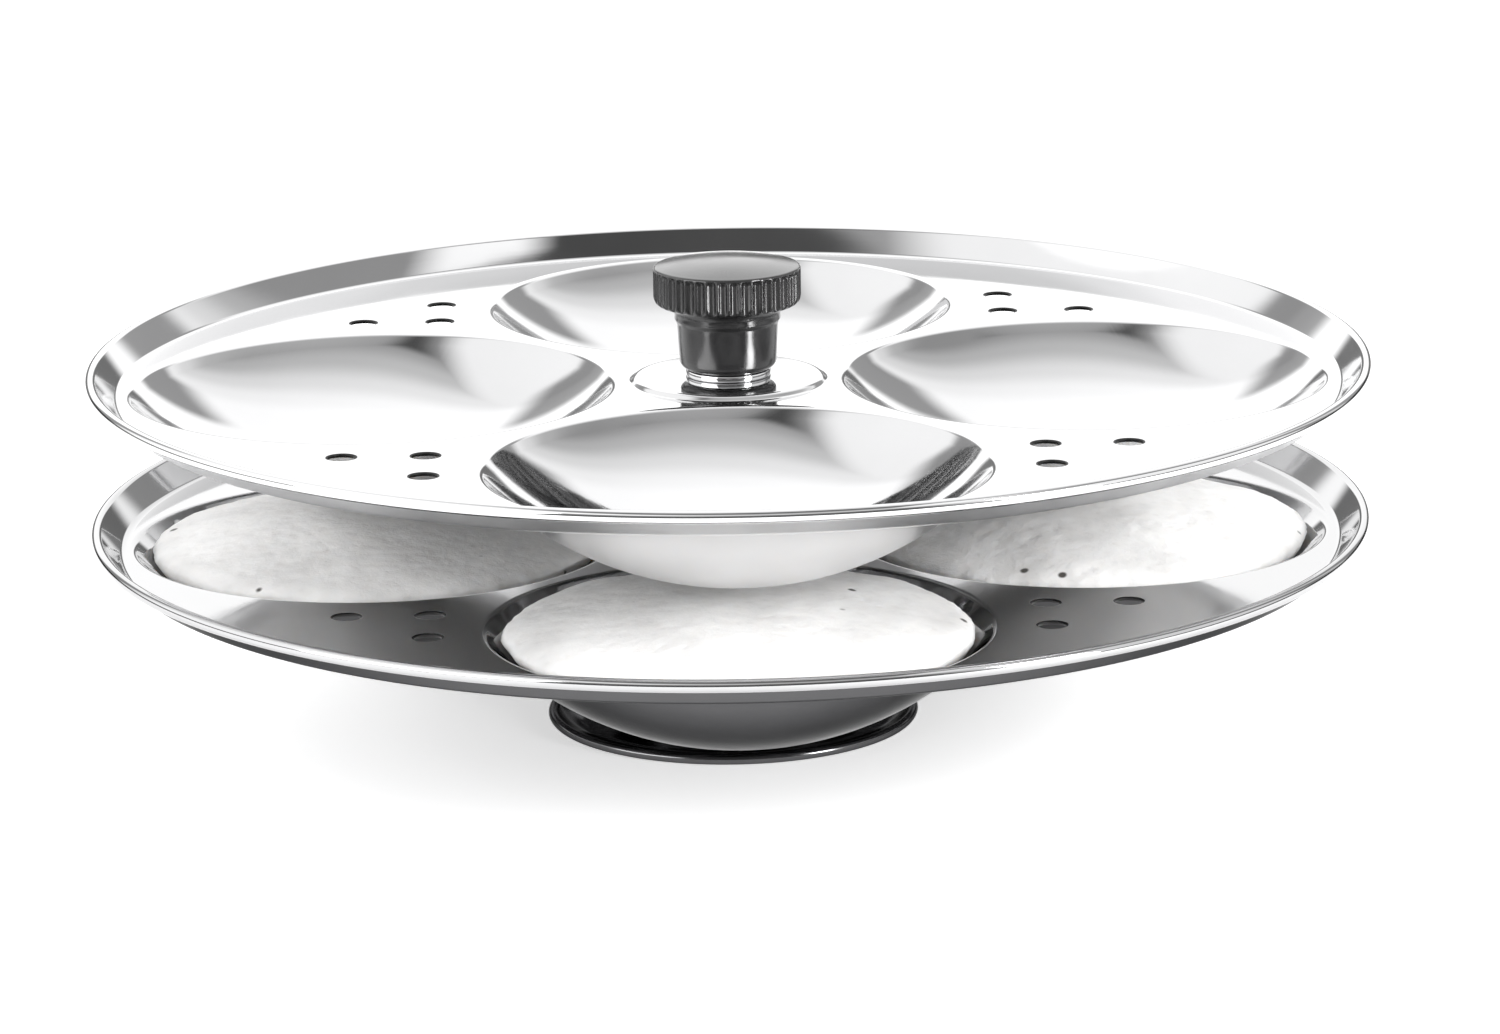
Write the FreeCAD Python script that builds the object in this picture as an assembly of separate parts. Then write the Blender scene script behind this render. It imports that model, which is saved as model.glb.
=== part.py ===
import FreeCAD, Part
import math
import os
from FreeCAD import Vector

# Two-tier idli steaming stand. Millimetres, +Z up, foot standing on Z = 0 with its axis on Z.

# plates: four cups are packed round the axis, and the rim stands outside them
sheet = 0.6
cup_count = 4
cup_radius = 37.0
cup_depth = 16.0
cup_edge_round = 1.4
cup_web = 1.8
rim_margin = 0.4
rim_bend = 1.6
rim_run = 3.1
rim_rise = 3.4
bead_radius = 0.95
boss_margin = 1.9
boss_rise = 0.8
boss_bend = 0.9

# steam holes: three in an L, in each gap between two cups
steam_hole_radius = 2.0
steam_hole_pitch = 12.2
steam_hole_inset = 29.5

# stack: the upper cups hang this far above the cakes, and the lower plate stands on its spacer
cake_headroom = 2.4
lower_spacer_length = 11.2

# pressed foot
foot_sheet = 0.8
foot_radius = 28.6
foot_bead_radius = 0.8
foot_flange_width = 3.4
foot_flat_radius = 9.0
foot_shoulder_bend = 5.0
foot_flange_bend = 2.2

# rod, nuts and washers
rod_radius = 3.0
rod_end_chamfer = 0.5
rod_floor_gap = 3.2
rod_tail = 2.0
thread_pitch = 1.0
thread_clearance = 0.05
sliding_clearance = 0.25
nut_across_flats = 10.0
nut_height = 5.0
nut_chamfer = 0.6
washer_radius = 6.0
washer_thickness = 1.0
washer_edge_break = 0.15
spacer_wall = 1.7
spacer_edge_break = 0.3

# knob, measured up from its underside
collar_radius = 6.5
collar_thickness = 1.1
collar_edge_break = 0.3
neck_foot_radius = 7.4
neck_radius = 7.7
neck_height = 7.2
neck_chamfer = 1.2
ledge_radius = 8.1
ledge_height = 0.5
flare_radius = 9.1
flare_height = 2.3
flare_sag = 0.35
head_radius = 11.25
head_band = 5.9
head_under_round = 1.3
head_edge_round = 0.5
head_dome = 1.0
flute_count = 40
flute_depth = 0.55
flute_radius = 0.75
insert_radius = 4.6
insert_depth = 11.5
insert_groove_depth = 0.5
insert_groove_width = 1.6
rod_engagement = 9.0

# steamed rice cakes lying in the lower plate's cups
cake_radius = 35.0
cake_crown = 5.0
cake_gap = 0.15
cake_edge_height = 0.9

# the plates' layout follows from the cups
sphere_radius = (cup_radius ** 2 + cup_depth ** 2) / (2 * cup_depth)
sphere_height = sphere_radius - cup_depth
cup_outer = math.sqrt((sphere_radius + cup_edge_round) ** 2 - (sphere_height + cup_edge_round) ** 2)
ring_radius = (cup_outer + cup_web / 2) / math.sin(math.pi / cup_count)
rim_foot_radius = ring_radius + cup_outer + rim_margin + rim_bend / 2
boss_radius = ring_radius - cup_outer - boss_margin
bore_radius = rod_radius + sliding_clearance
steam_hole_ring = rim_foot_radius - steam_hole_inset

# heights of the stack
foot_height = rod_floor_gap + rod_tail + nut_height + washer_thickness + foot_sheet
plate_spacing = cup_depth + sheet + cake_crown + cake_headroom
foot_washer_bottom = foot_height - foot_sheet - washer_thickness
upper_nut_bottom = foot_height + washer_thickness
lower_spacer_bottom = upper_nut_bottom + nut_height
lower_top = lower_spacer_bottom + lower_spacer_length + sheet - boss_rise
upper_top = lower_top + plate_spacing
collar_bottom = upper_top + boss_rise
knob_bottom = collar_bottom + collar_thickness


def polar(radius, degrees, z=0.0):
    angle = math.radians(degrees)
    return Vector(radius * math.cos(angle), radius * math.sin(angle), z)


def on_arc(centre_r, centre_z, radius, degrees):
    angle = math.radians(degrees)
    return centre_r + radius * math.cos(angle), centre_z + radius * math.sin(angle)


def crown_height(radius, rise, r):
    """Height, at r, of a spherical crown of this radius and rise above its edge."""
    sphere = (radius ** 2 + rise ** 2) / (2 * rise)
    return rise - sphere + math.sqrt(sphere ** 2 - r ** 2)


def lathe(points):
    """A solid turned about Z from edges in the XZ plane.

    points is a closed list of (r, z); a three-item entry (r, z, (mid_r, mid_z)) ends an arc
    that starts at the point before it and passes through mid.
    """
    edges = []
    for start, end in zip(points, points[1:] + points[:1]):
        a = Vector(start[0], 0, start[1])
        b = Vector(end[0], 0, end[1])
        if len(end) == 3:
            edges.append(Part.Arc(a, Vector(end[2][0], 0, end[2][1]), b).toShape())
        else:
            edges.append(Part.LineSegment(a, b).toShape())
    face = Part.Face(Part.Wire(edges))
    return face.revolve(Vector(0, 0, 0), Vector(0, 0, 1), 360)


def sheet_lathe(path, thickness):
    """Turns a bent sheet about Z; path holds (r, z, bend radius) along the middle of the sheet."""
    sides = {1: [], -1: []}
    for i, (r, z, bend) in enumerate(path):
        here = Vector(r, 0, z)
        into = here - Vector(path[i - 1][0], 0, path[i - 1][1]) if i else None
        away = Vector(path[i + 1][0], 0, path[i + 1][1]) - here if i + 1 < len(path) else None
        along = (away or into).normalize()
        for side in sides:
            if into is None or away is None:
                left = Vector(-along.z, 0, along.x)
                corner = here + left * (side * thickness / 2)
                sides[side].append((corner.x, corner.z))
        if into is None or away is None:
            continue
        into.normalize()
        left_in = Vector(-into.z, 0, into.x)
        left_out = Vector(-along.z, 0, along.x)
        turn = 1 if into.x * along.z - into.z * along.x > 0 else -1
        half = into.getAngle(along) / 2
        centre = here - into * (bend * math.tan(half)) + left_in * (turn * bend)
        middle = (left_in + left_out).normalize()
        for side in sides:
            arm = side * thickness / 2 - turn * bend
            start = centre + left_in * arm
            mid = centre + middle * arm
            end = centre + left_out * arm
            sides[side].append((start.x, start.z))
            sides[side].append((end.x, end.z, (mid.x, mid.z)))
    back = sides[-1]
    closed = list(sides[1])
    for i in range(len(back) - 1, -1, -1):
        after = back[i + 1] if i + 1 < len(back) else ()
        point = back[i][:2]
        closed.append(point + (after[2],) if len(after) == 3 else point)
    return lathe(closed)


def bead(radius, z, thickness):
    return Part.makeTorus(radius, thickness, Vector(0, 0, z))


def washer(radius, bore, thickness, z, edge_break):
    b = edge_break
    profile = [(bore, z), (radius - b, z), (radius, z + b), (radius, z + thickness - b),
               (radius - b, z + thickness), (bore, z + thickness)]
    return lathe(profile)


def spacer(bottom, top):
    outer = bore_radius + spacer_wall
    return washer(outer, bore_radius, top - bottom, bottom, spacer_edge_break)


def hex_nut(bottom):
    corner = nut_across_flats / math.sqrt(3)
    corners = [polar(corner, 60 * i, bottom) for i in range(7)]
    block = Part.Face(Part.makePolygon(corners)).extrude(Vector(0, 0, nut_height))
    c = nut_chamfer
    bore = rod_radius + thread_clearance
    top = bottom + nut_height
    barrel = lathe([(bore + c, bottom), (corner - c, bottom), (corner, bottom + c), (corner, top - c),
                    (corner - c, top), (bore + c, top), (bore, top - c), (bore, bottom + c)])
    return block.common(barrel)


def plate(top):
    """A pressed plate whose flat stretch has its upper face at this height."""
    middle = top - sheet / 2
    wall_top = middle + rim_rise
    disc = sheet_lathe([(bore_radius, middle + boss_rise, 0),
                        (boss_radius - boss_rise, middle + boss_rise, boss_bend),
                        (boss_radius, middle, boss_bend),
                        (rim_foot_radius, middle, rim_bend),
                        (rim_foot_radius + rim_run, wall_top, 0)], sheet)
    disc = disc.fuse(bead(rim_foot_radius + rim_run + bead_radius / 2, wall_top, bead_radius))
    cup_angles = [360 * i / cup_count for i in range(cup_count)]
    places = [polar(ring_radius, angle, top) for angle in cup_angles]
    openings = [Part.makeCylinder(cup_outer, 2 * sheet, place - Vector(0, 0, 1.5 * sheet)) for place in places]
    disc = disc.cut(openings)
    disc = disc.fuse([cup().translated(place) for place in places]).removeSplitter()
    return disc.cut(steam_holes(top))


def cup():
    """One pressed cup, its axis on Z and its flat edge at Z = 0, round to the edge's outer radius."""
    lean = math.degrees(math.atan2(-cup_edge_round - sphere_height, cup_outer))
    half_bowl = (lean - 90) / 2
    half_bend = (lean + 270) / 2
    outer = sphere_radius + sheet

    def bend(radius):
        return on_arc(cup_outer, -cup_edge_round, radius, half_bend)

    return lathe([(0, -cup_depth - sheet),
                  on_arc(0, sphere_height, outer, lean) + (on_arc(0, sphere_height, outer, half_bowl),),
                  (cup_outer, -sheet, bend(cup_edge_round - sheet)),
                  (cup_outer, 0),
                  on_arc(0, sphere_height, sphere_radius, lean) + (bend(cup_edge_round),),
                  (0, -cup_depth, on_arc(0, sphere_height, sphere_radius, half_bowl))])


def steam_holes(top):
    corner = steam_hole_ring * math.cos(math.radians(45))
    trio = [(corner, corner), (corner + steam_hole_pitch, corner), (corner, corner + steam_hole_pitch)]
    holes = []
    for i in range(cup_count):
        for x, y in trio:
            drill = Part.makeCylinder(steam_hole_radius, 4 * sheet, Vector(x, y, top - 2 * sheet))
            drill.rotate(Vector(0, 0, 0), Vector(0, 0, 1), 360 * i / cup_count)
            holes.append(drill)
    return holes


def foot():
    middle = foot_sheet / 2
    edge = foot_radius - foot_bead_radius
    slope_end = edge - foot_flange_width
    dish = sheet_lathe([(bore_radius, foot_height - middle, 0),
                        (foot_flat_radius, foot_height - middle, foot_shoulder_bend),
                        (slope_end, middle, foot_flange_bend),
                        (edge, middle, 0)], foot_sheet)
    return dish.fuse(bead(edge, foot_bead_radius, foot_bead_radius)).removeSplitter()


def rod():
    top = knob_bottom + rod_engagement
    c = rod_end_chamfer
    return lathe([(0, rod_floor_gap), (rod_radius - c, rod_floor_gap), (rod_radius, rod_floor_gap + c),
                  (rod_radius, top - c), (rod_radius - c, top), (0, top)])


def knob():
    """Moulded knob with a blind pocket for its metal insert, and a fluted head."""
    z = knob_bottom
    neck_top = z + neck_height
    ledge_top = neck_top + ledge_height
    head_bottom = ledge_top + flare_height
    head_top = head_bottom + head_band
    c = neck_chamfer
    u = head_under_round
    e = head_edge_round
    seat = insert_radius
    groove = seat - insert_groove_depth
    groove_top = z + (insert_depth + insert_groove_width) / 2
    groove_bottom = groove_top - insert_groove_width
    flare_mid = ((ledge_radius + flare_radius) / 2 - flare_sag, (ledge_top + head_bottom) / 2)
    top_radius = head_radius - e
    crown_mid = (top_radius / 2, head_top + crown_height(top_radius, head_dome, top_radius / 2))
    body = lathe([(seat, z), (neck_foot_radius - c, z), (neck_foot_radius, z + c), (neck_radius, neck_top),
                  (ledge_radius, ledge_top), (flare_radius, head_bottom, flare_mid),
                  (head_radius - u, head_bottom),
                  (head_radius, head_bottom + u, on_arc(head_radius - u, head_bottom + u, u, -45)),
                  (head_radius, head_top - e),
                  (top_radius, head_top, on_arc(top_radius, head_top - e, e, 45)),
                  (0, head_top + head_dome, crown_mid), (0, z + insert_depth),
                  (seat, z + insert_depth), (seat, groove_top),
                  (groove, groove_top), (groove, groove_bottom), (seat, groove_bottom)])
    flutes = []
    centre = head_radius + flute_radius - flute_depth
    for i in range(flute_count):
        place = polar(centre, 360 * (i + 0.5) / flute_count, head_bottom - flute_radius)
        flutes.append(Part.makeCylinder(flute_radius, head_band + flute_radius - e, place))
    return body.cut(flutes)


def knob_insert():
    """Threaded metal insert, held in the knob by the ring of plastic that fills its groove."""
    z = knob_bottom
    seat = insert_radius
    groove = seat - insert_groove_depth
    groove_top = z + (insert_depth + insert_groove_width) / 2
    groove_bottom = groove_top - insert_groove_width
    bore = rod_radius + thread_clearance
    bore_end = z + rod_engagement + rod_end_chamfer
    return lathe([(bore, z), (seat, z), (seat, groove_bottom), (groove, groove_bottom),
                  (groove, groove_top), (seat, groove_top),
                  (seat, z + insert_depth), (0, z + insert_depth), (0, bore_end), (bore, bore_end)])


def cake():
    """A cake as it sits in its cup, on the cup's own sphere below and crowned above."""
    floor_radius = sphere_radius - cake_gap
    rest_radius = cake_radius - cake_edge_height
    rest_z = sphere_height - math.sqrt(floor_radius ** 2 - rest_radius ** 2)
    half = -90 + math.degrees(math.asin(rest_radius / floor_radius)) / 2
    shoulder_z = crown_height(cake_radius, cake_crown, rest_radius)
    crown_mid = (rest_radius / 2, crown_height(cake_radius, cake_crown, rest_radius / 2))
    return lathe([(0, sphere_height - floor_radius),
                  (rest_radius, rest_z, on_arc(0, sphere_height, floor_radius, half)),
                  (rest_radius, shoulder_z, (cake_radius, (rest_z + shoulder_z) / 2)),
                  (0, cake_crown, crown_mid)])


def build():
    plate_under_boss = lower_top - sheet + boss_rise
    plate_boss_top = lower_top + boss_rise
    pieces = {
        "foot": foot(),
        "rod": rod(),
        "foot_washers": Part.Compound([
            washer(washer_radius, bore_radius, washer_thickness, foot_washer_bottom, washer_edge_break),
            washer(washer_radius, bore_radius, washer_thickness, foot_height, washer_edge_break)]),
        "foot_nuts": Part.Compound([hex_nut(foot_washer_bottom - nut_height), hex_nut(upper_nut_bottom)]),
        "lower_spacer": spacer(lower_spacer_bottom, plate_under_boss),
        "lower_plate": plate(lower_top),
        "middle_spacer": spacer(plate_boss_top, plate_under_boss + plate_spacing),
        "upper_plate": plate(upper_top),
        "knob_collar": washer(collar_radius, bore_radius, collar_thickness, collar_bottom, collar_edge_break),
        "knob": knob(),
        "knob_insert": knob_insert(),
    }
    cake_names = {"idli_right": 0, "idli_back": 90, "idli_left": 180, "idli_front": 270}
    for name, angle in cake_names.items():
        pieces[name] = cake().translated(polar(ring_radius, angle, lower_top))
    return pieces


os.makedirs("parts", exist_ok=True)
for name, shape in build().items():
    shape.exportStep(f"parts/{name}.step")
    print(f"{name:14s} solids {len(shape.Solids)}  valid {shape.isValid()}  volume {shape.Volume:10.1f}")
print(f"plate radius {rim_foot_radius + rim_run + 1.5 * bead_radius:.2f}")
print(f"cup ring radius {ring_radius:.2f}, boss radius {boss_radius:.2f}")
print(f"plate spacing {plate_spacing:.2f}, lower plate {lower_top:.2f} above the floor, pitch {thread_pitch}")
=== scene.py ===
import math
import bmesh
import bpy
from mathutils import Matrix, Vector, noise


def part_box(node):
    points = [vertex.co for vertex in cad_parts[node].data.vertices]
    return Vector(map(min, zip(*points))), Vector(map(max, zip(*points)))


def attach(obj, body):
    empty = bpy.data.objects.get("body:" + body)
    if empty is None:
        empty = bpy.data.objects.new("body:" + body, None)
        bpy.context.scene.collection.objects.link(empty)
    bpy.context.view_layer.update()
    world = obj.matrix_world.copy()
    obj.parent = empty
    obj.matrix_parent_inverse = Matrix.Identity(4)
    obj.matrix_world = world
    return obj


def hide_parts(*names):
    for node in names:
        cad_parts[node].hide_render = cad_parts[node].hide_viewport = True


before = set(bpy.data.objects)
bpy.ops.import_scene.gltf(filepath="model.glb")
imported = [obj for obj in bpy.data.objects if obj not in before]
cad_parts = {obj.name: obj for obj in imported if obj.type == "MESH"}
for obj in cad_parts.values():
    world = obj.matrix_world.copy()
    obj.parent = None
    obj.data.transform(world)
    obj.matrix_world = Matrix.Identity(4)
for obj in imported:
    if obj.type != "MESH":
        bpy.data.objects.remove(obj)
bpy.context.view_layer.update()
print("frame loaded")

scene = bpy.context.scene
mm = 0.001


# meshes

def finishMesh(name, bm, body, nodes, material):
    mesh = bpy.data.meshes.new(name)
    bm.to_mesh(mesh)
    bm.free()
    obj = bpy.data.objects.new(name, mesh)
    scene.collection.objects.link(obj)
    for polygon in mesh.polygons:
        polygon.use_smooth = True
    mesh.materials.append(material)
    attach(obj, body)
    if nodes:
        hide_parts(*nodes)
    return obj


def onArc(centre, radius, start, end, steps):
    # points along an arc in the r, z plane, angles in degrees
    points = []
    for i in range(steps + 1):
        angle = math.radians(start + (end - start) * i / steps)
        points.append((centre[0] + radius * math.cos(angle), centre[1] + radius * math.sin(angle)))
    return points


def spinProfile(bm, profile, steps, centre=(0, 0), closed=False):
    # turns a profile of (r, z) about an upright axis and adds it to bm
    part = bmesh.new()
    verts = [part.verts.new((r * mm, 0, z * mm)) for r, z in profile]
    edges = [part.edges.new(pair) for pair in zip(verts, verts[1:])]
    if closed:
        edges.append(part.edges.new((verts[-1], verts[0])))
    bmesh.ops.spin(part, geom=verts + edges, axis=(0, 0, 1), angle=math.tau, steps=steps, use_merge=True)
    bmesh.ops.remove_doubles(part, verts=part.verts, dist=1e-6)
    bmesh.ops.translate(part, vec=(centre[0], centre[1], 0), verts=part.verts)
    carrier = bpy.data.meshes.new("carrier")
    part.to_mesh(carrier)
    part.free()
    bm.from_mesh(carrier)
    bpy.data.meshes.remove(carrier)


def turned(profile, steps):
    # a closed solid of revolution
    bm = bmesh.new()
    spinProfile(bm, profile, steps, closed=profile[0][0] > 0)
    bmesh.ops.recalc_face_normals(bm, faces=bm.faces)
    return bm


def quadratic(a, b, c, steps):
    # a smooth curve from a to c that leans towards b
    a, b, c = Vector(a), Vector(b), Vector(c)
    points = []
    for i in range(steps + 1):
        t = i / steps
        points.append(tuple(a * (1 - t) ** 2 + b * (2 * t * (1 - t)) + c * t ** 2))
    return points


def softened(corners, radius, steps=3):
    # rounds every corner of a closed (r, z) outline that is off the axis
    points = []
    count = len(corners)
    for i, here in enumerate(corners):
        if here[0] == 0:
            points.append(here)
            continue
        p = Vector(here)
        a = Vector(corners[i - 1]) - p
        b = Vector(corners[(i + 1) % count]) - p
        cut = min(radius, a.length * 0.45, b.length * 0.45)
        points += quadratic(p + a.normalized() * cut, p, p + b.normalized() * cut, steps)
    return points


# materials

def newMaterial(name):
    material = bpy.data.materials.new(name)
    material.use_nodes = True
    return material, material.node_tree.nodes, material.node_tree.links


def addNode(nodes, kind, inputs=None, **settings):
    node = nodes.new(kind)
    for key, value in settings.items():
        setattr(node, key, value)
    for key, value in (inputs or {}).items():
        node.inputs[key].default_value = value
    return node


def ramp(nodes, stops):
    node = nodes.new("ShaderNodeValToRGB")
    elements = node.color_ramp.elements
    while len(elements) < len(stops):
        elements.new(0.5)
    for element, (place, value) in zip(elements, stops):
        element.position = place
        element.color = (value, value, value, 1) if isinstance(value, (int, float)) else (*value, 1)
    return node


polish = {
    "tint": (0.64, 0.64, 0.645),
    "roughness": (0.035, 0.11),
    "buffScale": 900.0,       # fine rings left by the buffing wheel
    "buffStrength": 0.012,
    "waveScale": 26.0,        # slight waves in the pressed sheet
    "waveStrength": 0.05,
    "waveHeight": 0.0006,
    "smudgeScale": 42.0,
    "glance": 1.0,            # share of the shine kept where the sheet is seen edge on
}


def polishedSteel(name, options):
    material, nodes, links = newMaterial(name)
    shader = nodes["Principled BSDF"]
    shader.inputs["Metallic"].default_value = 1.0
    glance = options["glance"]
    shader.inputs["Specular Tint"].default_value = (glance, glance, glance, 1)
    place = addNode(nodes, "ShaderNodeTexCoord")
    split = addNode(nodes, "ShaderNodeSeparateXYZ")
    links.new(place.outputs["Object"], split.inputs[0])
    flat = addNode(nodes, "ShaderNodeCombineXYZ")
    links.new(split.outputs["X"], flat.inputs["X"])
    links.new(split.outputs["Y"], flat.inputs["Y"])
    reach = addNode(nodes, "ShaderNodeVectorMath", operation="LENGTH")
    links.new(flat.outputs[0], reach.inputs[0])

    rings = addNode(nodes, "ShaderNodeTexNoise", {"Scale": options["buffScale"], "Detail": 3.0},
                    noise_dimensions="1D")
    links.new(reach.outputs["Value"], rings.inputs["W"])
    smudge = addNode(nodes, "ShaderNodeTexNoise", {"Scale": options["smudgeScale"], "Detail": 5.0,
                                                   "Roughness": 0.6})
    links.new(place.outputs["Object"], smudge.inputs["Vector"])
    wave = addNode(nodes, "ShaderNodeTexNoise", {"Scale": options["waveScale"], "Detail": 1.0})
    links.new(place.outputs["Object"], wave.inputs["Vector"])

    low, high = options["roughness"]
    gloss = addNode(nodes, "ShaderNodeMapRange", {"From Min": 0.35, "From Max": 0.75,
                                                  "To Min": low, "To Max": high})
    links.new(smudge.outputs["Fac"], gloss.inputs["Value"])
    links.new(gloss.outputs["Result"], shader.inputs["Roughness"])

    tone = ramp(nodes, [(0.3, tuple(c * 0.96 for c in options["tint"])), (0.7, options["tint"])])
    links.new(smudge.outputs["Fac"], tone.inputs["Fac"])
    links.new(tone.outputs["Color"], shader.inputs["Base Color"])

    fine = addNode(nodes, "ShaderNodeBump", {"Strength": options["buffStrength"], "Distance": 0.0001})
    links.new(rings.outputs["Fac"], fine.inputs["Height"])
    broad = addNode(nodes, "ShaderNodeBump", {"Strength": options["waveStrength"],
                                              "Distance": options["waveHeight"]})
    links.new(wave.outputs["Fac"], broad.inputs["Height"])
    links.new(fine.outputs["Normal"], broad.inputs["Normal"])
    links.new(broad.outputs["Normal"], shader.inputs["Normal"])
    return material


# the lower plate's underside and the foot stand in boiling water and lose some shine; their very dark tint
# and weak edge shine are painted shade for the shade beneath the stand
dulledAndShaded = {"tint": (0.13, 0.13, 0.133), "roughness": (0.10, 0.24), "smudgeScale": 130.0, "glance": 0.32}

# the lower plate's top gets a darker tint, painted shade for the shade cast by the upper plate; undersides
# are never buffed as bright, so they are rougher
shadedLowerTop = {"tint": (0.46, 0.46, 0.464)}
# the upper plate's underside is rougher, and its tint is raised above the top's: painted light that lightens
# the underside and rim band
unbuffedBrightened = {"tint": (0.72, 0.72, 0.725), "roughness": (0.28, 0.40)}

# the cut edges of the sheet and the drawn-down edges of the punched holes, painted near black: painted shade
# inside the holes
holeEdgeShade = {"tint": (0.03, 0.03, 0.03), "roughness": (0.4, 0.6)}

satin = {
    "tint": (0.56, 0.56, 0.57),
    "roughness": (0.22, 0.42),
    "grainScale": (60.0, 60.0, 2600.0),   # turning marks, fine along the axis
    "grainStrength": 0.2,
}


def turnedSteel(name, options):
    material, nodes, links = newMaterial(name)
    shader = nodes["Principled BSDF"]
    shader.inputs["Metallic"].default_value = 1.0
    place = addNode(nodes, "ShaderNodeTexCoord")
    stretch = addNode(nodes, "ShaderNodeMapping", {"Scale": options["grainScale"]})
    links.new(place.outputs["Object"], stretch.inputs["Vector"])
    grain = addNode(nodes, "ShaderNodeTexNoise", {"Scale": 1.0, "Detail": 4.0, "Roughness": 0.55})
    links.new(stretch.outputs[0], grain.inputs["Vector"])
    low, high = options["roughness"]
    gloss = addNode(nodes, "ShaderNodeMapRange", {"From Min": 0.3, "From Max": 0.7,
                                                  "To Min": low, "To Max": high})
    links.new(grain.outputs["Fac"], gloss.inputs["Value"])
    links.new(gloss.outputs["Result"], shader.inputs["Roughness"])
    tint = options["tint"]
    tone = ramp(nodes, [(0.3, tuple(c * 0.86 for c in tint)), (0.72, tint)])
    links.new(grain.outputs["Fac"], tone.inputs["Fac"])
    links.new(tone.outputs["Color"], shader.inputs["Base Color"])
    bump = addNode(nodes, "ShaderNodeBump", {"Strength": options["grainStrength"], "Distance": 0.00006})
    links.new(grain.outputs["Fac"], bump.inputs["Height"])
    links.new(bump.outputs["Normal"], shader.inputs["Normal"])
    return material


brass = {"tint": (0.62, 0.46, 0.2)}

bakelite = {
    "tone": (0.007, 0.015),
    "roughness": (0.12, 0.28),
    "speckScale": 1400.0,
    "flowScale": 90.0,
    "skin": 0.06,
    "lacquer": 0.35,
    "lacquerRoughness": 0.12,
}


def mouldedBlack(name, options):
    material, nodes, links = newMaterial(name)
    shader = nodes["Principled BSDF"]
    shader.inputs["Coat Weight"].default_value = options["lacquer"]
    shader.inputs["Coat Roughness"].default_value = options["lacquerRoughness"]
    place = addNode(nodes, "ShaderNodeTexCoord")
    flow = addNode(nodes, "ShaderNodeTexNoise", {"Scale": options["flowScale"], "Detail": 4.0})
    speck = addNode(nodes, "ShaderNodeTexNoise", {"Scale": options["speckScale"], "Detail": 2.0})
    links.new(place.outputs["Object"], flow.inputs["Vector"])
    links.new(place.outputs["Object"], speck.inputs["Vector"])
    dark, light = options["tone"]
    tone = ramp(nodes, [(0.35, dark), (0.75, (light, light, light * 1.04))])
    links.new(flow.outputs["Fac"], tone.inputs["Fac"])
    links.new(tone.outputs["Color"], shader.inputs["Base Color"])
    low, high = options["roughness"]
    gloss = addNode(nodes, "ShaderNodeMapRange", {"From Min": 0.35, "From Max": 0.7,
                                                  "To Min": low, "To Max": high})
    links.new(flow.outputs["Fac"], gloss.inputs["Value"])
    links.new(gloss.outputs["Result"], shader.inputs["Roughness"])
    bump = addNode(nodes, "ShaderNodeBump", {"Strength": options["skin"], "Distance": 0.00005})
    links.new(speck.outputs["Fac"], bump.inputs["Height"])
    links.new(bump.outputs["Normal"], shader.inputs["Normal"])
    return material


crumb = {
    "pale": (0.90, 0.895, 0.885),
    "shade": (0.70, 0.694, 0.686),
    # near-black spots painted in the pores: painted shade
    "poreShadow": (0.06, 0.055, 0.05),
    "grainScale": 950.0,
    "poreScale": 420.0,
    "poreShadowScale": 95.0,
    "blotchScale": 52.0,
    "roughness": 0.62,
    "glowThrough": 0.25,
    "glowReach": (0.0022, 0.0019, 0.0016),
    "bloom": 0.08,
    "grainBump": 0.45,
    "poreBump": 0.3,
}


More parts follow.
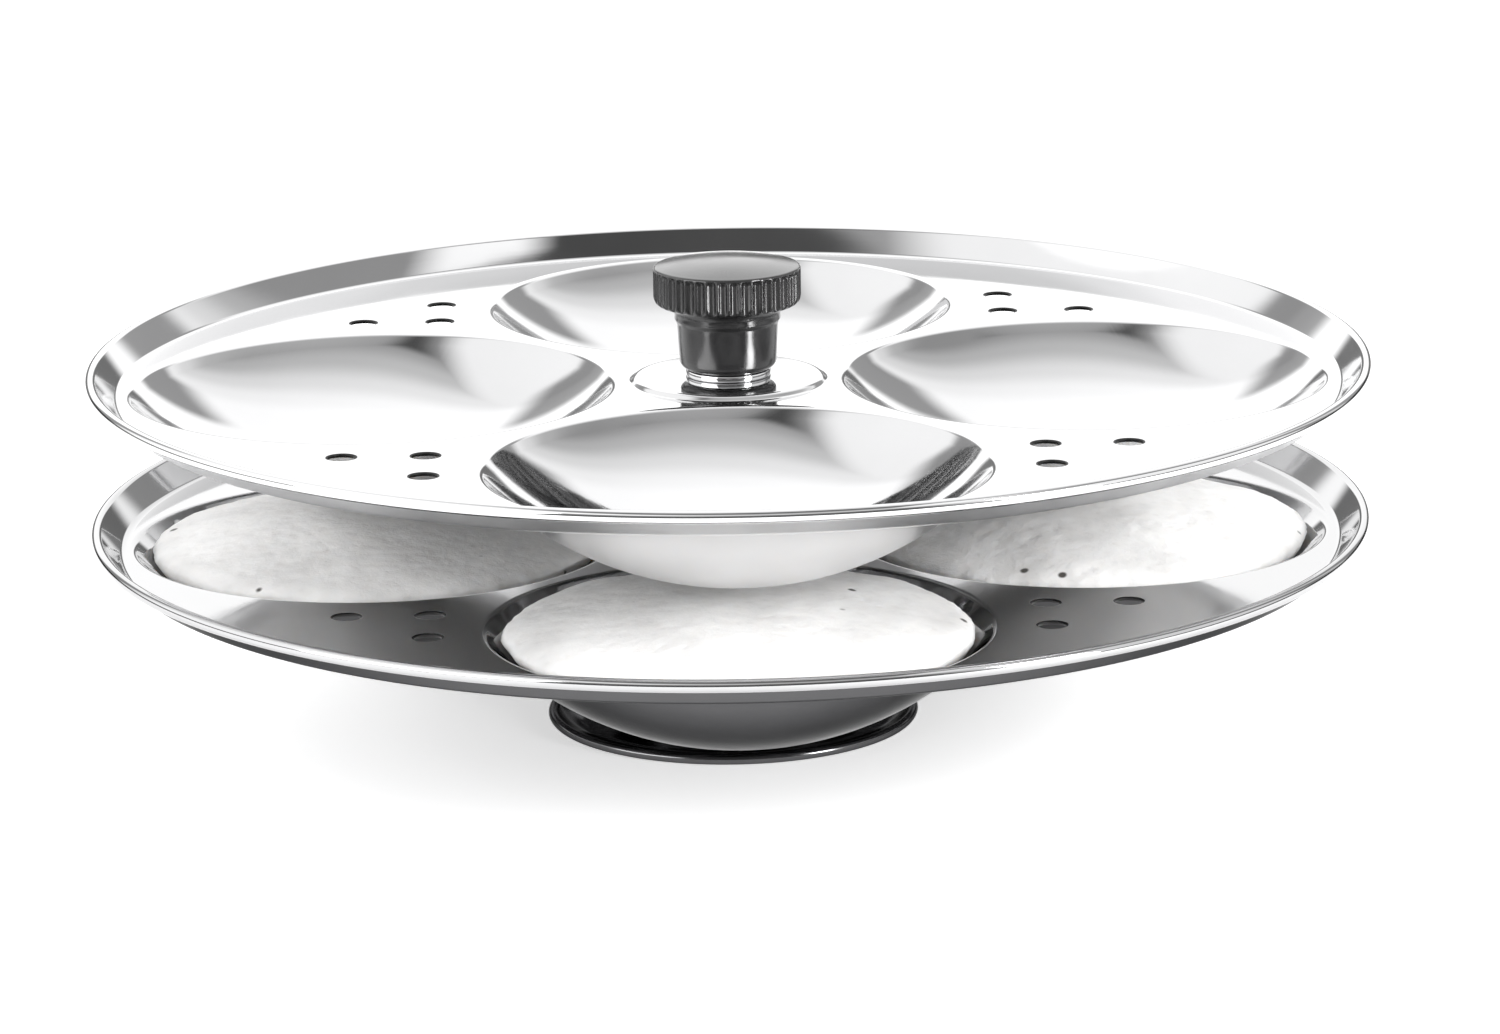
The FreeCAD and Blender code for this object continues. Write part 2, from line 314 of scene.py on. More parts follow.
def steamedRice(name, options):
    material, nodes, links = newMaterial(name)
    shader = nodes["Principled BSDF"]
    shader.inputs["Roughness"].default_value = options["roughness"]
    shader.inputs["Subsurface Weight"].default_value = options["glowThrough"]
    shader.inputs["Subsurface Radius"].default_value = options["glowReach"]
    shader.inputs["Subsurface Scale"].default_value = 1.0
    shader.inputs["Sheen Weight"].default_value = options["bloom"]
    place = addNode(nodes, "ShaderNodeTexCoord")
    blotch = addNode(nodes, "ShaderNodeTexNoise", {"Scale": options["blotchScale"], "Detail": 6.0,
                                                   "Roughness": 0.58})
    grain = addNode(nodes, "ShaderNodeTexNoise", {"Scale": options["grainScale"], "Detail": 4.0,
                                                  "Roughness": 0.7})
    pore = addNode(nodes, "ShaderNodeTexVoronoi", {"Scale": options["poreScale"]},
                   feature="SMOOTH_F1")
    poreShadow = addNode(nodes, "ShaderNodeTexVoronoi", {"Scale": options["poreShadowScale"], "Randomness": 1.0})
    for texture in (blotch, grain, pore, poreShadow):
        links.new(place.outputs["Object"], texture.inputs["Vector"])
    tone = ramp(nodes, [(0.3, options["shade"]), (0.62, options["pale"])])
    links.new(blotch.outputs["Fac"], tone.inputs["Fac"])
    # the pores are darkened a little: painted shade in the pores
    poreShade = ramp(nodes, [(0.06, 0.9), (0.3, 1.0)])
    links.new(pore.outputs["Distance"], poreShade.inputs["Fac"])
    shaded = addNode(nodes, "ShaderNodeMix", {"Factor": 0.6}, data_type="RGBA", blend_type="MULTIPLY")
    links.new(tone.outputs["Color"], shaded.inputs["A"])
    links.new(poreShade.outputs["Color"], shaded.inputs["B"])
    # near-black spots painted over small cells: painted shade in the pores
    poreShadowMask = ramp(nodes, [(0.045, 1.0), (0.075, 0.0)])
    links.new(poreShadow.outputs["Distance"], poreShadowMask.inputs["Fac"])
    spotted = addNode(nodes, "ShaderNodeMix", data_type="RGBA")
    links.new(poreShadowMask.outputs["Color"], spotted.inputs["Factor"])
    links.new(shaded.outputs["Result"], spotted.inputs["A"])
    spotted.inputs["B"].default_value = (*options["poreShadow"], 1)
    links.new(spotted.outputs["Result"], shader.inputs["Base Color"])
    fine = addNode(nodes, "ShaderNodeBump", {"Strength": options["grainBump"], "Distance": 0.0003})
    links.new(grain.outputs["Fac"], fine.inputs["Height"])
    pitted = addNode(nodes, "ShaderNodeBump", {"Strength": options["poreBump"], "Distance": 0.0005})
    links.new(pore.outputs["Distance"], pitted.inputs["Height"])
    links.new(fine.outputs["Normal"], pitted.inputs["Normal"])
    links.new(pitted.outputs["Normal"], shader.inputs["Normal"])
    return material


def paleFloor(name, glow):
    material, nodes, links = newMaterial(name)
    shader = nodes["Principled BSDF"]
    shader.inputs["Roughness"].default_value = 0.8
    place = addNode(nodes, "ShaderNodeTexCoord")
    mottle = addNode(nodes, "ShaderNodeTexNoise", {"Scale": 3.0, "Detail": 3.0})
    links.new(place.outputs["Object"], mottle.inputs["Vector"])
    tone = ramp(nodes, [(0.3, (0.93, 0.93, 0.93)), (0.7, (0.95, 0.95, 0.95))])
    links.new(mottle.outputs["Fac"], tone.inputs["Fac"])
    links.new(tone.outputs["Color"], shader.inputs["Base Color"])
    shader.inputs["Emission Color"].default_value = (1, 1, 1, 1)
    shader.inputs["Emission Strength"].default_value = glow
    return material


mirrorSteel = polishedSteel("mirrorSteel", polish)
dulledShadedSteel = polishedSteel("dulledShadedSteel", {**polish, **dulledAndShaded})
shadedLowerTopSteel = polishedSteel("shadedLowerTopSteel", {**polish, **shadedLowerTop})
unbuffedBrightenedSteel = polishedSteel("unbuffedBrightenedSteel", {**polish, **unbuffedBrightened})
holeEdgeShadeSteel = turnedSteel("holeEdgeShadeSteel", {**satin, **holeEdgeShade})
satinSteel = turnedSteel("satinSteel", satin)
brassMetal = turnedSteel("machinedBrass", {**satin, **brass})
knobBlack = mouldedBlack("knobBlack", bakelite)
riceWhite = steamedRice("steamedRice", crumb)
print("materials made")


# plates

plate = {
    "sheet": 0.6,
    "cupDepth": 16.0,
    "cupRadius": 37.0,
    "cupEdgeRound": 1.4,
    "cupWeb": 1.8,
    "rimMargin": 0.4,
    "rimBend": 1.6,
    "rimRun": 3.1,
    "rimRise": 3.4,
    "beadRadius": 0.95,
    "beadTurn": 285.0,
    "bossMargin": 1.9,
    "bossRise": 0.8,
    "bossBend": 0.9,
    "boreRadius": 3.25,
    "holeRadius": 2.0,
    "holePitch": 12.2,
    "holeInset": 29.5,
    "holeRoll": 0.8,
    "holeLean": 42.0,      # how far the drawn-down edge of a hole turns, in degrees
    "holeShadeLean": 15.0,      # from this lean on, the edge is painted near black: painted shade inside the hole
    "flatRing": 0.16,      # a narrow flat ring round every opening keeps the mirror true
    "edgeBevel": 0.09,
    "rimSteps": 360,
    "cupSteps": 160,
    "holeSteps": 36,
}


def plateLayout(p):
    sphere = (p["cupRadius"] ** 2 + p["cupDepth"] ** 2) / (2 * p["cupDepth"])
    height = sphere - p["cupDepth"]
    cupOuter = math.sqrt((sphere + p["cupEdgeRound"]) ** 2 - (height + p["cupEdgeRound"]) ** 2)
    ring = (cupOuter + p["cupWeb"] / 2) * math.sqrt(2)
    rimFoot = ring + cupOuter + p["rimMargin"] + p["rimBend"] / 2
    return {"sphere": sphere, "height": height, "cupOuter": cupOuter, "ring": ring,
            "rimFoot": rimFoot, "boss": ring - cupOuter - p["bossMargin"],
            "holeRing": rimFoot - p["holeInset"]}


def cupProfile(p, lay, top):
    lean = math.degrees(math.atan2(-p["cupEdgeRound"] - lay["height"], lay["cupOuter"]))
    bend = onArc((lay["cupOuter"], top - p["cupEdgeRound"]), p["cupEdgeRound"], 90, lean + 180, 6)
    bowl = onArc((0, top + lay["height"]), lay["sphere"], lean, -90, 26)
    bowl[-1] = (0, top - p["cupDepth"])
    return [(lay["cupOuter"] + p["flatRing"], top)] + bend + bowl[1:]


def rimProfile(p, lay, top):
    # from the flat, up the slanted wall and round the rolled bead
    slope = math.degrees(math.atan2(p["rimRise"], p["rimRun"]))
    inside = p["rimBend"] - p["sheet"] / 2
    middle = top - p["sheet"] / 2
    bead = (lay["rimFoot"] + p["rimRun"] + p["beadRadius"] / 2, middle + p["rimRise"])
    start = lay["rimFoot"] - p["rimBend"] * math.tan(math.radians(slope / 2))
    corner = onArc((start, top + inside), inside, -90, -90 + slope, 5)
    foot = Vector(corner[-1])
    towards = Vector(bead) - foot
    lift = math.degrees(math.atan2(towards.y, towards.x)) + math.degrees(
        math.asin(p["beadRadius"] / towards.length))
    roll = onArc(bead, p["beadRadius"], lift + 90, lift + 90 - p["beadTurn"], 26)
    return [(start - p["flatRing"], top)] + corner + roll


def bossProfile(p, lay, top):
    # from the flat, up over the raised boss and in to the rod's hole
    rise = p["bossRise"]
    half = 45 / 2
    low = p["bossBend"] - p["sheet"] / 2
    high = p["bossBend"] + p["sheet"] / 2
    reach = p["bossBend"] * math.tan(math.radians(half))
    outer = onArc((lay["boss"] + reach, top + low), low, -90, -135, 4)
    inner = onArc((lay["boss"] - rise - reach, top + rise - high), high, 45, 90, 5)
    last = (p["boreRadius"] + p["flatRing"], top + rise)
    first = (lay["boss"] + reach + p["flatRing"], top)
    return [first] + outer + inner + [last, (p["boreRadius"], top + rise)]


def holePlaces(p, lay):
    corner = lay["holeRing"] * math.cos(math.radians(45))
    trio = [(corner, corner), (corner + p["holePitch"], corner), (corner, corner + p["holePitch"])]
    return [Matrix.Rotation(math.radians(90 * i), 2) @ Vector(place) for i in range(4) for place in trio]


def plateMesh(p, top):
    lay = plateLayout(p)
    bm = bmesh.new()
    cup = cupProfile(p, lay, top)
    for i in range(4):
        centre = Matrix.Rotation(math.radians(90 * i), 2) @ Vector((lay["ring"] * mm, 0))
        spinProfile(bm, cup, p["cupSteps"], centre)
    spinProfile(bm, rimProfile(p, lay, top), p["rimSteps"])
    spinProfile(bm, bossProfile(p, lay, top), p["holeSteps"] * 3)
    # a punched hole's edge is drawn down a little
    roll = p["holeRoll"]
    reach = p["holeRadius"] + roll * math.sin(math.radians(p["holeLean"]))
    hole = [(reach + p["flatRing"], top)] + onArc((reach, top - roll), roll, 90, 90 + p["holeLean"], 6)
    places = [place * mm for place in holePlaces(p, lay)]
    for place in places:
        spinProfile(bm, hole, p["holeSteps"], place)
    # the flat stretch fills what lies between the open edges of the rings
    level = top * mm
    inner = lay["rimFoot"] * mm
    bore = (p["boreRadius"] + 1) * mm
    holeEdge = reach * mm

    def facesFlat(edge):
        middle = (edge.verts[0].co + edge.verts[1].co) / 2
        if abs(middle.z - level) > 1e-6 or not bore < middle.xy.length < inner:
            return False
        return all((middle.xy - place).length > holeEdge for place in places)

    openEdges = [e for e in bm.edges if e.is_boundary and facesFlat(e)]
    bmesh.ops.triangle_fill(bm, use_beauty=True, use_dissolve=False, edges=openEdges, normal=(0, 0, 1))
    bmesh.ops.recalc_face_normals(bm, faces=bm.faces)
    innermost = min(bm.faces, key=lambda f: f.calc_center_median().xy.length)
    if innermost.normal.z < 0:
        bmesh.ops.reverse_faces(bm, faces=bm.faces)
    # faces of the drawn-down hole edges get the near-black painted shade
    leaning = math.cos(math.radians(p["holeShadeLean"]))
    for face in bm.faces:
        middle = face.calc_center_median().xy
        if face.normal.z < leaning and any((middle - place).length < holeEdge for place in places):
            face.material_index = 2
    return bm


def makePlate(name, body, node, face, underside):
    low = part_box(node)[0]
    lay = plateLayout(plate)
    top = low.z / mm + plate["cupDepth"] + plate["sheet"]
    obj = finishMesh(name, plateMesh(plate, top), body, [node], face)
    obj.data.materials.append(underside)
    obj.data.materials.append(holeEdgeShadeSteel)
    wall = obj.modifiers.new("sheetThickness", "SOLIDIFY")
    wall.thickness = plate["sheet"] * mm
    wall.offset = -1
    wall.use_even_offset = True
    wall.material_offset = 1
    # the sheet's cut edges get the near-black painted shade
    wall.material_offset_rim = 2
    edge = obj.modifiers.new("brokenEdges", "BEVEL")
    edge.width = plate["edgeBevel"] * mm
    edge.segments = 2
    edge.limit_method = "ANGLE"
    edge.angle_limit = math.radians(60)
    return lay, top


layout, lowerTop = makePlate("lowerPlateSheet", "lower_plate", "lower_plate", shadedLowerTopSteel, dulledShadedSteel)
layout, upperTop = makePlate("upperPlateSheet", "upper_plate", "upper_plate", mirrorSteel, unbuffedBrightenedSteel)
print("plates made")


# foot

foot = {
    "sheet": 0.8,
    "radius": 28.6,
    "bead": 0.8,
    "flange": 3.4,
    "flat": 9.0,
    "shoulderBend": 5.0,
    "flangeBend": 2.2,
    "bore": 3.25,
    "steps": 240,
}


def bentSides(path, thickness, steps=8):
    # both faces of a bent sheet, from (r, z, bend) along its middle
    sides = {1: [], -1: []}
    for i, (r, z, bend) in enumerate(path):
        here = Vector((r, z))
        into = here - Vector(path[i - 1][:2]) if i else None
        away = Vector(path[i + 1][:2]) - here if i + 1 < len(path) else None
        if into is None or away is None:
            along = (away or into).normalized()
            for side in sides:
                point = here + Vector((-along.y, along.x)) * (side * thickness / 2)
                sides[side].append(tuple(point))
            continue
        turn = into.normalized().cross(away.normalized())
        half = into.angle(away) / 2
        way = 1 if turn > 0 else -1
        unit = into.normalized()
        centre = here - unit * bend * math.tan(half) + Vector((-unit.y, unit.x)) * way * bend
        start = math.degrees(math.atan2(-unit.x * way, unit.y * way))
        for side in sides:
            radius = bend - side * way * thickness / 2
            sides[side] += onArc(centre, radius, start, start + way * math.degrees(half * 2), steps)
    return sides


def makeFoot(f):
    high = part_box("foot")[1]
    middle = f["sheet"] / 2
    edge = f["radius"] - f["bead"]
    path = [(f["bore"], high.z / mm - middle, 0), (f["flat"], high.z / mm - middle, f["shoulderBend"]),
            (edge - f["flange"], middle, f["flangeBend"]), (edge, middle, 0)]
    sides = bentSides(path, f["sheet"])
    roll = onArc((edge, f["bead"]), f["bead"], 180, -90, 18)
    profile = sides[1][:-1] + roll + sides[-1][::-1][1:]
    bm = turned(profile, f["steps"])
    return finishMesh("footDish", bm, "base", ["foot"], dulledShadedSteel)


makeFoot(foot)
print("foot made")


# knob

knob = {
    "neckFoot": 7.4,
    "neck": 7.7,
    "neckHeight": 7.2,
    "neckChamfer": 1.2,
    "ledge": 8.1,
    "ledgeHeight": 0.5,
    "flare": 9.1,
    "flareHeight": 2.3,
    "flareSag": 0.35,
    "head": 11.25,
    "band": 5.9,
    "underRound": 1.3,
    "edgeRound": 0.5,
    "dome": 1.0,
    "flutes": 40,
    "fluteDepth": 0.55,
    "fluteRadius": 0.75,
    "stepsPerFlute": 10,
}


def makeKnob(k):
    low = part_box("knob")[0]
    z = low.z / mm
    neckTop = z + k["neckHeight"]
    ledgeTop = neckTop + k["ledgeHeight"]
    headLow = ledgeTop + k["flareHeight"]
    headTop = headLow + k["band"]
    e, u, c = k["edgeRound"], k["underRound"], k["neckChamfer"]
    topRadius = k["head"] - e
    sphere = (topRadius ** 2 + k["dome"] ** 2) / (2 * k["dome"])
    reach = math.degrees(math.asin(topRadius / sphere))
    crown = onArc((0, headTop + k["dome"] - sphere), sphere, 90 - reach, 90, 14)
    crown[-1] = (0, headTop + k["dome"])
    flareBend = ((k["ledge"] + k["flare"]) / 2 - 2 * k["flareSag"], (ledgeTop + headLow) / 2 + k["flareSag"])
    band = [(k["head"], headLow + u + (k["band"] - u - e) * i / 12) for i in range(1, 12)]
    profile = [(0, z)] + quadratic((k["neckFoot"] - c, z), (k["neckFoot"] - c * 0.15, z + c * 0.35),
                                   (k["neckFoot"], z + c), 6)
    profile += [(k["neckFoot"] + (k["neck"] - k["neckFoot"]) * i / 6, z + c + (k["neckHeight"] - c) * i / 6)
                for i in range(1, 6)]
    profile += quadratic((k["neck"], neckTop - 0.15), (k["neck"], neckTop),
                         (k["neck"] + 0.12, neckTop + 0.08), 3)
    profile += quadratic((k["ledge"] - 0.2, ledgeTop - 0.14), (k["ledge"], ledgeTop),
                         (k["ledge"], ledgeTop + 0.2), 3)
    profile += quadratic((k["ledge"], ledgeTop + 0.3), flareBend, (k["flare"], headLow - 0.1), 7)
    profile += [(k["flare"] + 0.25, headLow)]
    profile += onArc((k["head"] - u, headLow + u), u, -90, 0, 7)
    profile += band
    profile += onArc((topRadius, headTop - e), e, 0, 90, 5)[:-1] + crown
    bm = bmesh.new()
    spinProfile(bm, profile, k["flutes"] * k["stepsPerFlute"])
    pitch = math.tau / k["flutes"]
    for vert in bm.verts:
        height = vert.co.z / mm
        radius = vert.co.xy.length / mm
        if radius < k["flare"] + 0.5 or not headLow - 0.01 < height < headTop - e * 0.6:
            continue
        angle = math.atan2(vert.co.y, vert.co.x)
        side = ((angle / pitch) % 1 - 0.5) * pitch * k["head"]
        across = math.sqrt(max(0.0, k["fluteRadius"] ** 2 - side ** 2))
        groove = max(0.0, across - k["fluteRadius"] + k["fluteDepth"])
        fade = min(1.0, max(0.0, (headTop - e * 0.6 - height) / 0.45))
        wanted = min(radius, k["head"] - groove * fade)
        vert.co.xy *= wanted / radius
    bmesh.ops.recalc_face_normals(bm, faces=bm.faces)
    return finishMesh("knobBody", bm, "knob", ["knob"], knobBlack)


makeKnob(knob)
print("knob made")


# collar, spacers, washers, nuts, rod and insert

fittings = {
    "collarEdge": 0.35,
    "spacerEdge": 0.3,
    "steps": 96,
    "threadPitch": 1.0,
    "threadDepth": 0.55,
    "threadSteps": 48,
    "threadRows": 10,
    "topThread": 16.0,
    "footThread": 18.0,
    "chamfer": 0.7,
}


def makeRing(name, node, bore, material, edge):
    # a turned ring that fills the node's box
    low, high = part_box(node)
    outer = high.x / mm
    corners = [(bore, low.z / mm), (outer, low.z / mm), (outer, high.z / mm), (bore, high.z / mm)]
    bm = turned(softened(corners, edge), fittings["steps"])
    return finishMesh(name, bm, node, [node], material)


def makeRod(f):
    low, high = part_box("rod")
    bottom, top = low.z / mm, high.z / mm
    radius = high.x / mm
    rows = int((top - bottom) * f["threadRows"] / f["threadPitch"])
    wall = [(radius, bottom + (top - bottom) * i / rows) for i in range(rows + 1)]
    profile = [(0, bottom)] + wall + [(0, top)]
    bm = bmesh.new()
    spinProfile(bm, profile, f["threadSteps"])
    for vert in bm.verts:
        z = vert.co.z / mm
        if vert.co.xy.length < 1e-5:
            continue
        ends = min(z - bottom, top - z)
        groove = 0.0
        if z > top - f["topThread"] or z < bottom + f["footThread"]:
            turn = (z / f["threadPitch"] - math.atan2(vert.co.y, vert.co.x) / math.tau) % 1
            groove = f["threadDepth"] * (1 - abs(2 * turn - 1))
        groove = max(groove, f["chamfer"] - ends)
        vert.co.xy *= (radius - groove) / radius
    bmesh.ops.recalc_face_normals(bm, faces=bm.faces)
    return finishMesh("threadedRod", bm, "base", ["rod"], satinSteel)


boreRadius = plate["boreRadius"]
spacerEdge = fittings["spacerEdge"]
makeRing("knobCollarRing", "knob_collar", boreRadius, mirrorSteel, fittings["collarEdge"])
makeRing("lowerSpacerTube", "lower_spacer", boreRadius, satinSteel, spacerEdge)
makeRing("middleSpacerTube", "middle_spacer", boreRadius, satinSteel, spacerEdge)
makeRod(fittings)
# these keep their shape and only get a finish
plainPieces = {"foot_washers": satinSteel, "foot_nuts": satinSteel, "knob_insert": brassMetal}
for name, material in plainPieces.items():
    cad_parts[name].data.materials.clear()
    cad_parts[name].data.materials.append(material)
print("fittings made")


# cakes

cake = {
    "radius": 34.5,
    "crown": 5.0,
    "edge": 2.6,
    "middle": -1.2,
    "gap": 0.2,
    "detail": 6,
    "wobble": 0.6,
    "ragged": 0.45,
    "lumps": 0.45,
    "lumpScale": 0.09,
    "pores": 0.34,
    "poreScale": 0.42,
    "grain": 0.05,
    "grainScale": 0.55,
    "underside": 0.12,     # drawn in below, clear of the cup
}


def cakePoint(direction, c, lay, seed):
    # maps a point of the unit sphere to the cake, evenly in area
    flat = Vector((direction.x, direction.y))
    share = math.sqrt(max(0.0, 1 - abs(direction.z)))
    heading = flat.normalized() if flat.length > 1e-9 else Vector((1, 0))
    rough = noise.noise(Vector((heading.x * 1.6, heading.y * 1.6, seed)))
    rough += 0.4 * noise.noise(Vector((heading.x * 7, heading.y * 7, seed + 5)))
    ragged = noise.noise(Vector((heading.x * 26, heading.y * 26, seed + direction.z * 5)))
    limit = c["radius"] + c["wobble"] * (rough - 0.3) + c["ragged"] * ragged
    r = share * limit
    inset = max(0.0, (r - limit + c["edge"]) / c["edge"])
    side = math.sqrt(max(0.0, 1 - inset ** 2))
    sphere = (c["radius"] ** 2 + c["crown"] ** 2) / (2 * c["crown"])
    crown = c["crown"] - sphere + math.sqrt(sphere ** 2 - r ** 2)
    bowl = lay["height"] - math.sqrt((lay["sphere"] - c["gap"]) ** 2 - r ** 2)
    target = crown if direction.z > 0 else bowl
    z = c["middle"] + (target - c["middle"]) * side
    return Vector((heading.x * r, heading.y * r, z))


def makeCake(name, node, c, lay, seed):
    low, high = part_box(node)
    centre = Vector(((low.x + high.x) / 2, (low.y + high.y) / 2, lowerTop * mm))
    bm = bmesh.new()
    bmesh.ops.create_icosphere(bm, subdivisions=c["detail"], radius=1.0)
    for vert in bm.verts:
        vert.co = cakePoint(vert.co.normalized(), c, lay, seed)
    bm.normal_update()
    for vert in bm.verts:
        here = vert.co + Vector((seed * 31.0, seed * 17.0, 0))
        lump = noise.noise(here * c["lumpScale"]) * c["lumps"]
        fine = noise.noise(here * c["grainScale"])
        pore = -c["pores"] * max(0.0, 0.5 - noise.voronoi(here * c["poreScale"])[0][0]) ** 2 * 4
        above = 1.0 if vert.co.z > c["middle"] else 0.0
        vert.co += vert.normal * ((lump + pore + c["grain"] * fine) * above - c["underside"] * (1 - above))
    bmesh.ops.scale(bm, vec=(mm, mm, mm), verts=bm.verts)
    bmesh.ops.translate(bm, vec=centre, verts=bm.verts)
    bmesh.ops.recalc_face_normals(bm, faces=bm.faces)
    obj = finishMesh(name, bm, "lower_plate", [node], riceWhite)


for seed, side in enumerate(("front", "right", "back", "left")):
    makeCake("steamedCake" + side.capitalize(), "idli_" + side, cake, layout, seed + 1.0)
print("cakes made")


# floor, light and camera

studio = {
    "floorSize": 5.0,
    "floorGlow": 0.45,
    "tent": 1.7,               # strength of the bright surround
    "backdrop": 1.0,           # strength of the plain surround that is seen directly
    "horizon": 0.14,           # share left in the dark line round the horizon
    "arch": 0.28,              # share left in the dark arch overhead
    "archCore": 0.06,
    "archEnd": (-0.46, -0.24),  # the arch fades out across this stretch
    "archFade": 0.75,
    "window": (0.47, 0.13),    # place and half width of a bright pane that only the rims catch
    "flags": 0.3,              # share left in the two dark screens behind
    "archShift": 0.08,
    "notch": 0.14,             # share left where the viewer stands
    "sideLean": -0.2,
    "rightKey": {"turn": 54.0, "lift": 17.0, "away": 1.1, "size": (0.3, 0.5), "power": 14.0},
    "leftKey": {"turn": -56.0, "lift": 18.0, "away": 1.2, "size": (1.0, 0.6), "power": 8.0},
}


def makeFloor(s):
    bm = bmesh.new()
    bmesh.ops.create_grid(bm, x_segments=8, y_segments=8, size=s["floorSize"] / 2)
    mesh = bpy.data.meshes.new("floor")
    bm.to_mesh(mesh)
    bm.free()
    obj = bpy.data.objects.new("floor", mesh)
    obj.data.materials.append(paleFloor("paleFloor", s["floorGlow"]))
    scene.collection.objects.link(obj)


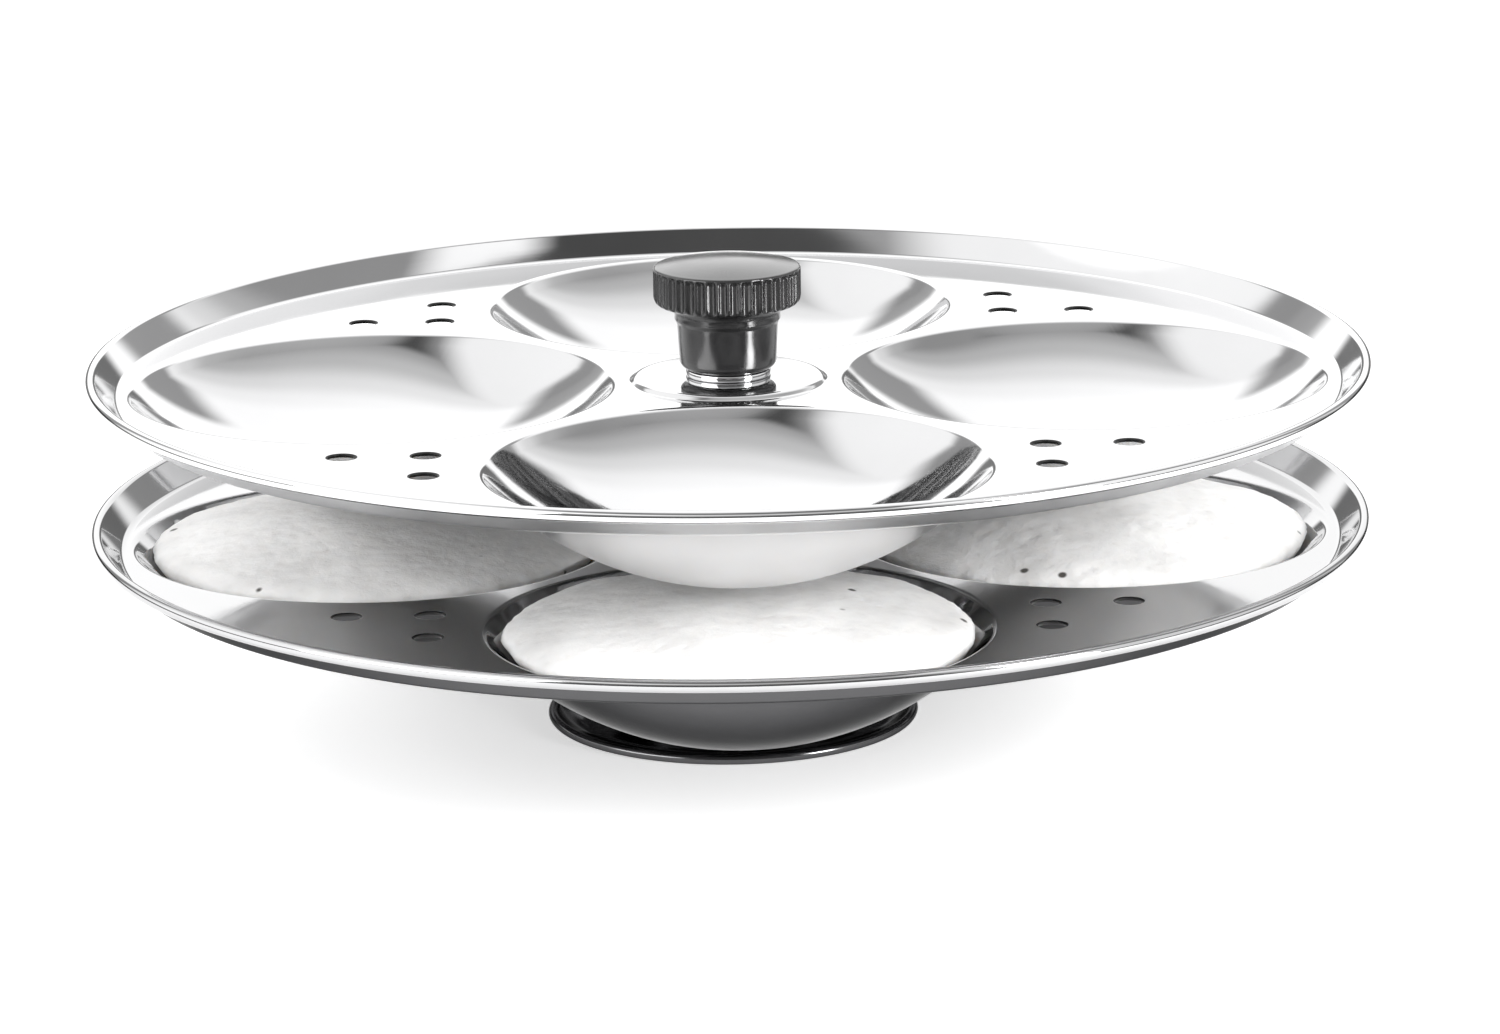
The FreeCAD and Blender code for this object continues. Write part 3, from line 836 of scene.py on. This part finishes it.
def makeSky(s):
    # a bright tent with a dark horizon, a dark arch overhead and a notch for the viewer
    world = bpy.data.worlds.new("studioTent")
    scene.world = world
    world.use_nodes = True
    nodes, links = world.node_tree.nodes, world.node_tree.links
    place = addNode(nodes, "ShaderNodeTexCoord")
    split = addNode(nodes, "ShaderNodeSeparateXYZ")
    links.new(place.outputs["Generated"], split.inputs[0])
    x, y, z = (split.outputs[axis] for axis in "XYZ")

    def maths(operation, first, second=None, third=None):
        node = nodes.new("ShaderNodeMath")
        node.operation = operation
        for socket, value in zip(node.inputs, (first, second, third)):
            if isinstance(value, (int, float)):
                socket.default_value = value
            elif value is not None:
                links.new(value, socket)
        return node.outputs[0]

    def profile(value, low, high, stops):
        spread = addNode(nodes, "ShaderNodeMapRange", {"From Min": low, "From Max": high})
        links.new(value, spread.inputs["Value"])
        curve = ramp(nodes, [((place - low) / (high - low), level) for place, level in stops])
        curve.color_ramp.interpolation = "EASE"
        links.new(spread.outputs["Result"], curve.inputs["Fac"])
        return curve.outputs["Color"]

    # the dark line round the horizon
    horizon = profile(z, -0.3, 0.3, [(-0.06, 1.0), (-0.03, s["horizon"]), (0.13, s["horizon"]), (0.185, 1.0)])
    # the arch overhead, its ends curving back, with a darker core
    aside = maths("SUBTRACT", x, s["archShift"])
    reach = maths("MULTIPLY", aside, aside)
    bow = maths("SUBTRACT", y, maths("MULTIPLY", reach, maths("MULTIPLY_ADD", reach, 1.5, 1.15)))
    arch = profile(bow, -1.3, 0.7, [(-0.85, 1.0), (-0.6, s["arch"]), (-0.24, s["arch"]), (-0.08, 0.46),
                                    (0.1, 0.72), (0.25, 0.9), (0.4, 1.0)])
    core = profile(bow, -0.6, 0.0, [(-0.46, 0.0), (-0.39, 1.0), (-0.26, 1.0), (-0.20, 0.0)])
    coreWidth = profile(reach, 0.0, 0.4, [(0.08, 1.0), (0.2, 0.0)])
    dark = maths("MULTIPLY", core, coreWidth)
    above = maths("GREATER_THAN", z, 0.0)
    dark = maths("MULTIPLY", dark, above)
    arch = maths("SUBTRACT", arch, maths("MULTIPLY", dark, s["arch"] - s["archCore"]))
    # a bright pane beside the core
    centre, half = s["window"]
    fromPane = maths("ABSOLUTE", maths("SUBTRACT", x, centre))
    pane = profile(fromPane, 0.0, 0.3, [(half * 0.35, 1.0), (half * 1.15, 0.0)])
    pane = maths("MULTIPLY", pane, profile(bow, -0.5, 0.0, [(-0.31, 1.0), (-0.285, 0.0)]))
    arch = maths("MAXIMUM", arch, maths("MULTIPLY", pane, above))
    # the arch's far end fades out
    start, end = s["archEnd"]
    fade = profile(x, -1.0, 0.0, [(start, s["archFade"]), (end, 0.0)])
    arch = maths("MAXIMUM", arch, maths("MULTIPLY", fade, above))
    # dimmer low down where the viewer stands
    level = maths("SQRT", maths("ADD", maths("MULTIPLY", x, x), maths("MULTIPLY", y, y)))
    toViewer = maths("DIVIDE", y, level)
    low = profile(z, 0.0, 1.0, [(0.45, 1.0), (0.7, 0.0)])
    notch = profile(toViewer, -1.0, 0.0, [(-0.88, 1.0 - s["notch"]), (-0.62, 0.0)])
    notch = maths("SUBTRACT", 1.0, maths("MULTIPLY", notch, low))
    # two dark screens behind the stand
    outward = maths("ABSOLUTE", maths("ARCTAN2", x, y))
    flags = profile(outward, 0.0, 1.2, [(0.42, 0.0), (0.5, 1.0), (0.68, 1.0), (0.76, 0.0)])
    flags = maths("MULTIPLY", flags, profile(z, 0.0, 1.0, [(0.5, 1.0), (0.65, 0.0)]))
    notch = maths("MULTIPLY", notch, maths("SUBTRACT", 1.0, maths("MULTIPLY", flags, 1.0 - s["flags"])))
    # a little brighter on one side
    lean = maths("MULTIPLY_ADD", x, s["sideLean"], 1.0)
    total = maths("MULTIPLY", maths("MULTIPLY", horizon, arch), maths("MULTIPLY", notch, lean))
    # seen directly, the surround is plain
    seen = addNode(nodes, "ShaderNodeLightPath").outputs["Is Camera Ray"]
    around = maths("MULTIPLY", maths("MULTIPLY", total, s["tent"]), maths("SUBTRACT", 1.0, seen))
    strength = maths("MULTIPLY_ADD", seen, s["backdrop"], around)
    links.new(strength, nodes["Background"].inputs["Strength"])
    nodes["Background"].inputs["Color"].default_value = (1, 1, 1, 1)


def addLight(name, key):
    data = bpy.data.lights.new(name, "AREA")
    data.shape = "RECTANGLE"
    data.size, data.size_y = key["size"]
    data.energy = key["power"]
    light = bpy.data.objects.new(name, data)
    scene.collection.objects.link(light)
    turn, lift = math.radians(key["turn"]), math.radians(key["lift"])
    away = Vector((math.sin(turn) * math.cos(lift), -math.cos(turn) * math.cos(lift), math.sin(lift)))
    light.location = Vector((0, 0, 0.05)) + away * key["away"]
    light.rotation_euler = (-away).to_track_quat("-Z", "Y").to_euler()


view = {
    "distance": 0.9,
    "elevation": 13.05,
    "turn": -1.2,
    "roll": -0.85,
    "sensor": 36.0,
    "focal": 141.4,
    "nod": 1.3418,               # looks this far below the stand's middle, in degrees
    "swing": 0.1896,             # and this far to its right
}


def makeCamera(v):
    data = bpy.data.cameras.new("camera")
    data.sensor_width = v["sensor"]
    data.lens = v["focal"]
    camera = bpy.data.objects.new("camera", data)
    scene.collection.objects.link(camera)
    centre = Vector((0, 0, upperTop * mm))
    lift = math.radians(v["elevation"])
    turn = math.radians(v["turn"])
    away = Vector((math.sin(turn) * math.cos(lift), -math.cos(turn) * math.cos(lift), math.sin(lift)))
    camera.location = centre + away * v["distance"]
    look = (-away).to_track_quat("-Z", "Y").to_matrix()
    nod = Matrix.Rotation(math.radians(-v["nod"]), 3, "X")
    swing = Matrix.Rotation(math.radians(-v["swing"]), 3, "Y")
    roll = Matrix.Rotation(math.radians(v["roll"]), 3, "Z")
    camera.rotation_euler = (look @ swing @ nod @ roll).to_euler()
    data.clip_start = 0.01
    scene.camera = camera


makeFloor(studio)
makeSky(studio)
addLight("rightKey", studio["rightKey"])
addLight("leftKey", studio["leftKey"])
makeCamera(view)
scene.view_settings.view_transform = "Standard"
print("studio made")
